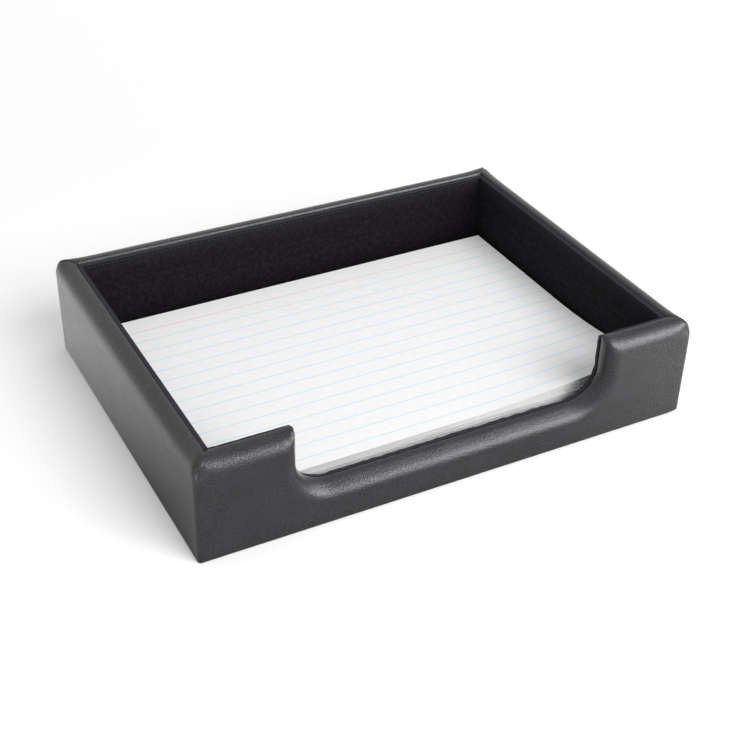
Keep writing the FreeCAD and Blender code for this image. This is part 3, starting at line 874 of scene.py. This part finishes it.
def makeBaseFelt():
    s = feltSettings
    low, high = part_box("base_felt")
    piece = blockFrom("baseFelt", low, high)
    bpy.ops.object.mode_set(mode="EDIT")

    def tall(edge):
        return abs(edge.verts[0].co.z - edge.verts[1].co.z)

    pick("EDGE", lambda e: tall(e) > 0.1 * mm)
    rounded(s["corner"] * mm, 6)
    pick("EDGE", lambda e: tall(e) < 0.01 * mm and e.verts[0].co.z < low.z + 0.1 * mm)
    rounded(s["edge"] * mm, 2)
    cutAcross(steps(low.x, high.x, s["pitch"] * mm), (1, 0, 0))
    cutAcross(steps(low.y, high.y, s["pitch"] * mm), (0, 1, 0))
    bpy.ops.object.mode_set(mode="OBJECT")
    smoothed(piece, 45)
    wear(piece, felt)
    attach(piece, "tray")
    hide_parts("base_felt")
    return piece


say("padding and felt")
paddings = [makePadding(side) for side in ("front", "back", "left", "right")]
baseFelt = makeBaseFelt()


cardSettings = {
    "width": 152.4, "depth": 101.6, "thickness": 0.2, "gap": 0.012, "centre": (0.8, 0.4), "cuts": (62, 42),
    "curlHeight": 5.2, "curlPower": 2.0, "curlAcross": 70.0, "curlBack": 47.0,
    "curlShares": (0.10, 0.24, 0.40, 0.58, 0.78, 1.0), "turns": (-0.225, -0.1, 0.025, 0.15, 0.275, 0.4),
    "packSheets": 22, "packCuts": (2, 2), "packTurn": -0.35, "turnSpread": 0.03, "spreadX": 0.08,
    "spreadY": 0.10, "seed": 11,
}


def cardSheet(name, level, turn, shift, curl, cuts):
    # one card: a gridded sheet, curled up towards its front right corner, with its own thickness
    s = cardSettings
    deselectAll()
    bpy.ops.mesh.primitive_grid_add(x_subdivisions=cuts[0], y_subdivisions=cuts[1], size=1)
    bpy.ops.transform.resize(value=(s["width"] * mm, s["depth"] * mm, 1))
    piece = named(name)
    turned = Euler((0, 0, math.radians(turn)))

    def bent(p):
        x, y = p.x / mm, p.y / mm
        reach = 1 - (s["width"] / 2 - x) / s["curlAcross"] - (y + s["depth"] / 2) / s["curlBack"]
        lift = s["curlHeight"] * curl * max(0, reach) ** s["curlPower"]
        q = Vector((x, y, 0))
        q.rotate(turned)
        return Vector((q.x + s["centre"][0] + shift[0], q.y + s["centre"][1] + shift[1], level + lift)) * mm

    moved(piece, bent)
    wear(piece, ruledCard, plainCard)
    applied(piece, "SOLIDIFY", thickness=(s["thickness"] - s["gap"]) * mm, offset=-1, use_even_offset=True,
            material_offset=1, material_offset_rim=1)
    return piece


def makeCards():
    s = cardSettings
    draw = random.Random(s["seed"])
    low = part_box("card_pack")[0]
    sheets = []
    for i in range(s["packSheets"]):
        level = low.z / mm + s["thickness"] * (i + 1)
        shift = (draw.uniform(-s["spreadX"], s["spreadX"]), draw.uniform(-s["spreadY"], s["spreadY"]))
        turn = s["packTurn"] + draw.uniform(-s["turnSpread"], s["turnSpread"])
        sheets.append(cardSheet("packSheet", level, turn, shift, 0, s["packCuts"]))
    chooseOnly(*sheets)
    bpy.ops.object.join()
    pack = bpy.context.active_object
    pack.name = pack.data.name = "cardPack"
    smoothed(pack, 30)
    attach(pack, "card_stack")
    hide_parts("card_pack")
    for number, (turn, curl) in enumerate(zip(s["turns"], s["curlShares"]), 1):
        last = number == len(s["turns"])
        node = "top_card" if last else f"card_{number}"
        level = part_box(node)[1].z / mm
        piece = cardSheet("topCard" if last else f"looseCard{number}", level, turn, (0, 0), curl, s["cuts"])
        smoothed(piece, 30)
        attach(piece, "top_card" if last else "card_stack")
        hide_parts(node)


say("cards")
makeCards()


cameraSettings = {"sensor": 36, "lens": 66.40, "near": 0.02, "far": 20,
                  "place": (-0.18381, -0.34610, 0.26845), "turn": (55.700, -1.160, -27.762)}


def makeCamera():
    s = cameraSettings
    deselectAll()
    data = bpy.data.cameras.new("studioCamera")
    data.sensor_width = s["sensor"]
    data.lens = s["lens"]
    data.clip_start, data.clip_end = s["near"], s["far"]
    camera = bpy.data.objects.new("studioCamera", data)
    bpy.context.scene.collection.objects.link(camera)
    camera.location = s["place"]
    camera.rotation_euler = Euler([math.radians(a) for a in s["turn"]])
    bpy.context.scene.camera = camera


stageSettings = {
    "floorSize": 6, "floorTone": 0.92, "glow": 0.17, "farGlow": 0.6, "glowFrom": 0.20, "glowTo": 1.1,
    "mirrorShare": 0.5, "mirrorCentre": (-0.03, -0.07, 0), "mirrorFrom": 0.07, "mirrorTo": 0.15,
    "world": 0.40, "worldInShine": 0.55,
}


def makeFloor():
    s = stageSettings
    deselectAll()
    bpy.ops.mesh.primitive_plane_add(size=s["floorSize"], location=(0, 0, 0))
    floor = named("floor")
    stuff = freshMaterial("paleSweepPaper")
    path = addNode(stuff, "ShaderNodeLightPath")
    place = addNode(stuff, "ShaderNodeTexCoord").outputs["Object"]
    # towards the horizon the paper stays white to the camera, and round the object it keeps its shadow
    away = addNode(stuff, "ShaderNodeVectorMath", {"operation": "LENGTH"}, links={0: place})
    glow = addNode(stuff, "ShaderNodeMapRange", From_Min=s["glowFrom"], From_Max=s["glowTo"],
                   To_Min=s["glow"], To_Max=s["farGlow"], links={"Value": away.outputs["Value"]})
    strength = maths(stuff, "MULTIPLY", {0: path.outputs["Is Camera Ray"], 1: glow.outputs[0]})
    paper = addNode(stuff, "ShaderNodeBsdfDiffuse", Color=(*[s["floorTone"]] * 3, 1))
    glow = addNode(stuff, "ShaderNodeEmission", Color=(1, 1, 1, 1), links={"Strength": strength})
    both = addNode(stuff, "ShaderNodeAddShader", links={0: paper.outputs[0], 1: glow.outputs[0]})
    # mirrored in the leather, it is half as bright close by and white further off, and never brighter; the
    # white further off is a glow of the paper, a painted reflection of a more brightly lit floor
    aside = addNode(stuff, "ShaderNodeVectorMath", {"operation": "DISTANCE"}, i1=s["mirrorCentre"],
                    links={0: place})
    far = addNode(stuff, "ShaderNodeMapRange", From_Min=s["mirrorFrom"], From_Max=s["mirrorTo"],
                  links={"Value": aside.outputs["Value"]})
    white = addNode(stuff, "ShaderNodeEmission", Color=(1, 1, 1, 1), links={"Strength": far.outputs[0]})
    share = maths(stuff, "MULTIPLY", {0: path.outputs["Is Glossy Ray"]}, i1=s["mirrorShare"])
    seen = addNode(stuff, "ShaderNodeMixShader", links={0: share, 1: both.outputs[0], 2: white.outputs[0]})
    wear(floor, finishMaterial(stuff, seen))


def makeWorld():
    # white to the camera, and greyer where it lights the object or shows in its shine
    s = stageSettings
    world = bpy.data.worlds.new("paleStudio")
    world.use_nodes = True
    world.node_tree.nodes.clear()
    path = addNode(world, "ShaderNodeLightPath")
    shine = addNode(world, "ShaderNodeMapRange", To_Min=s["world"], To_Max=s["worldInShine"],
                    links={"Value": path.outputs["Is Glossy Ray"]})
    level = maths(world, "MAXIMUM", {0: path.outputs["Is Camera Ray"], 1: shine.outputs[0]})
    back = addNode(world, "ShaderNodeBackground", Color=(1, 1, 1, 1), links={"Strength": level})
    addNode(world, "ShaderNodeOutputWorld", links={"Surface": back.outputs[0]})
    bpy.context.scene.world = world


lampSettings = {
    "target": (0.05, -0.05, 0.01), "side": (0.51, -0.60, 0.31), "top": (-0.10, 0.05, 1.20),
    "front": (0.30, -0.93, 0.80), "sheenSize": (0.80, 0.55), "softSize": (0.80, 0.80),
    "sheenPower": 5.8, "keyPower": 2.2, "topPower": 2.2, "fillPower": 12.7,
}


def lamp(name, place, size, power):
    data = bpy.data.lights.new(name, "AREA")
    data.shape = "RECTANGLE"
    data.size, data.size_y = size
    data.energy = power
    piece = bpy.data.objects.new(name, data)
    bpy.context.scene.collection.objects.link(piece)
    piece.location = place
    aim = Vector(lampSettings["target"]) - Vector(place)
    piece.rotation_euler = aim.to_track_quat("-Z", "Y").to_euler()
    return piece


def makeLamps():
    # one lamp makes the leather's highlights, and three that no highlight shows light the rest
    s = lampSettings
    sheen = lamp("sheenLight", s["side"], s["sheenSize"], s["sheenPower"])
    sheen.visible_diffuse = False
    for name, place, power in (("keyLight", s["side"], s["keyPower"]), ("topLight", s["top"], s["topPower"]),
                               ("fillLight", s["front"], s["fillPower"])):
        soft = lamp(name, place, s["softSize"], power)
        soft.visible_glossy = False


say("sheets")


say("camera and light")
makeCamera()
makeFloor()
makeWorld()
makeLamps()
bpy.context.scene.view_settings.view_transform = "Standard"
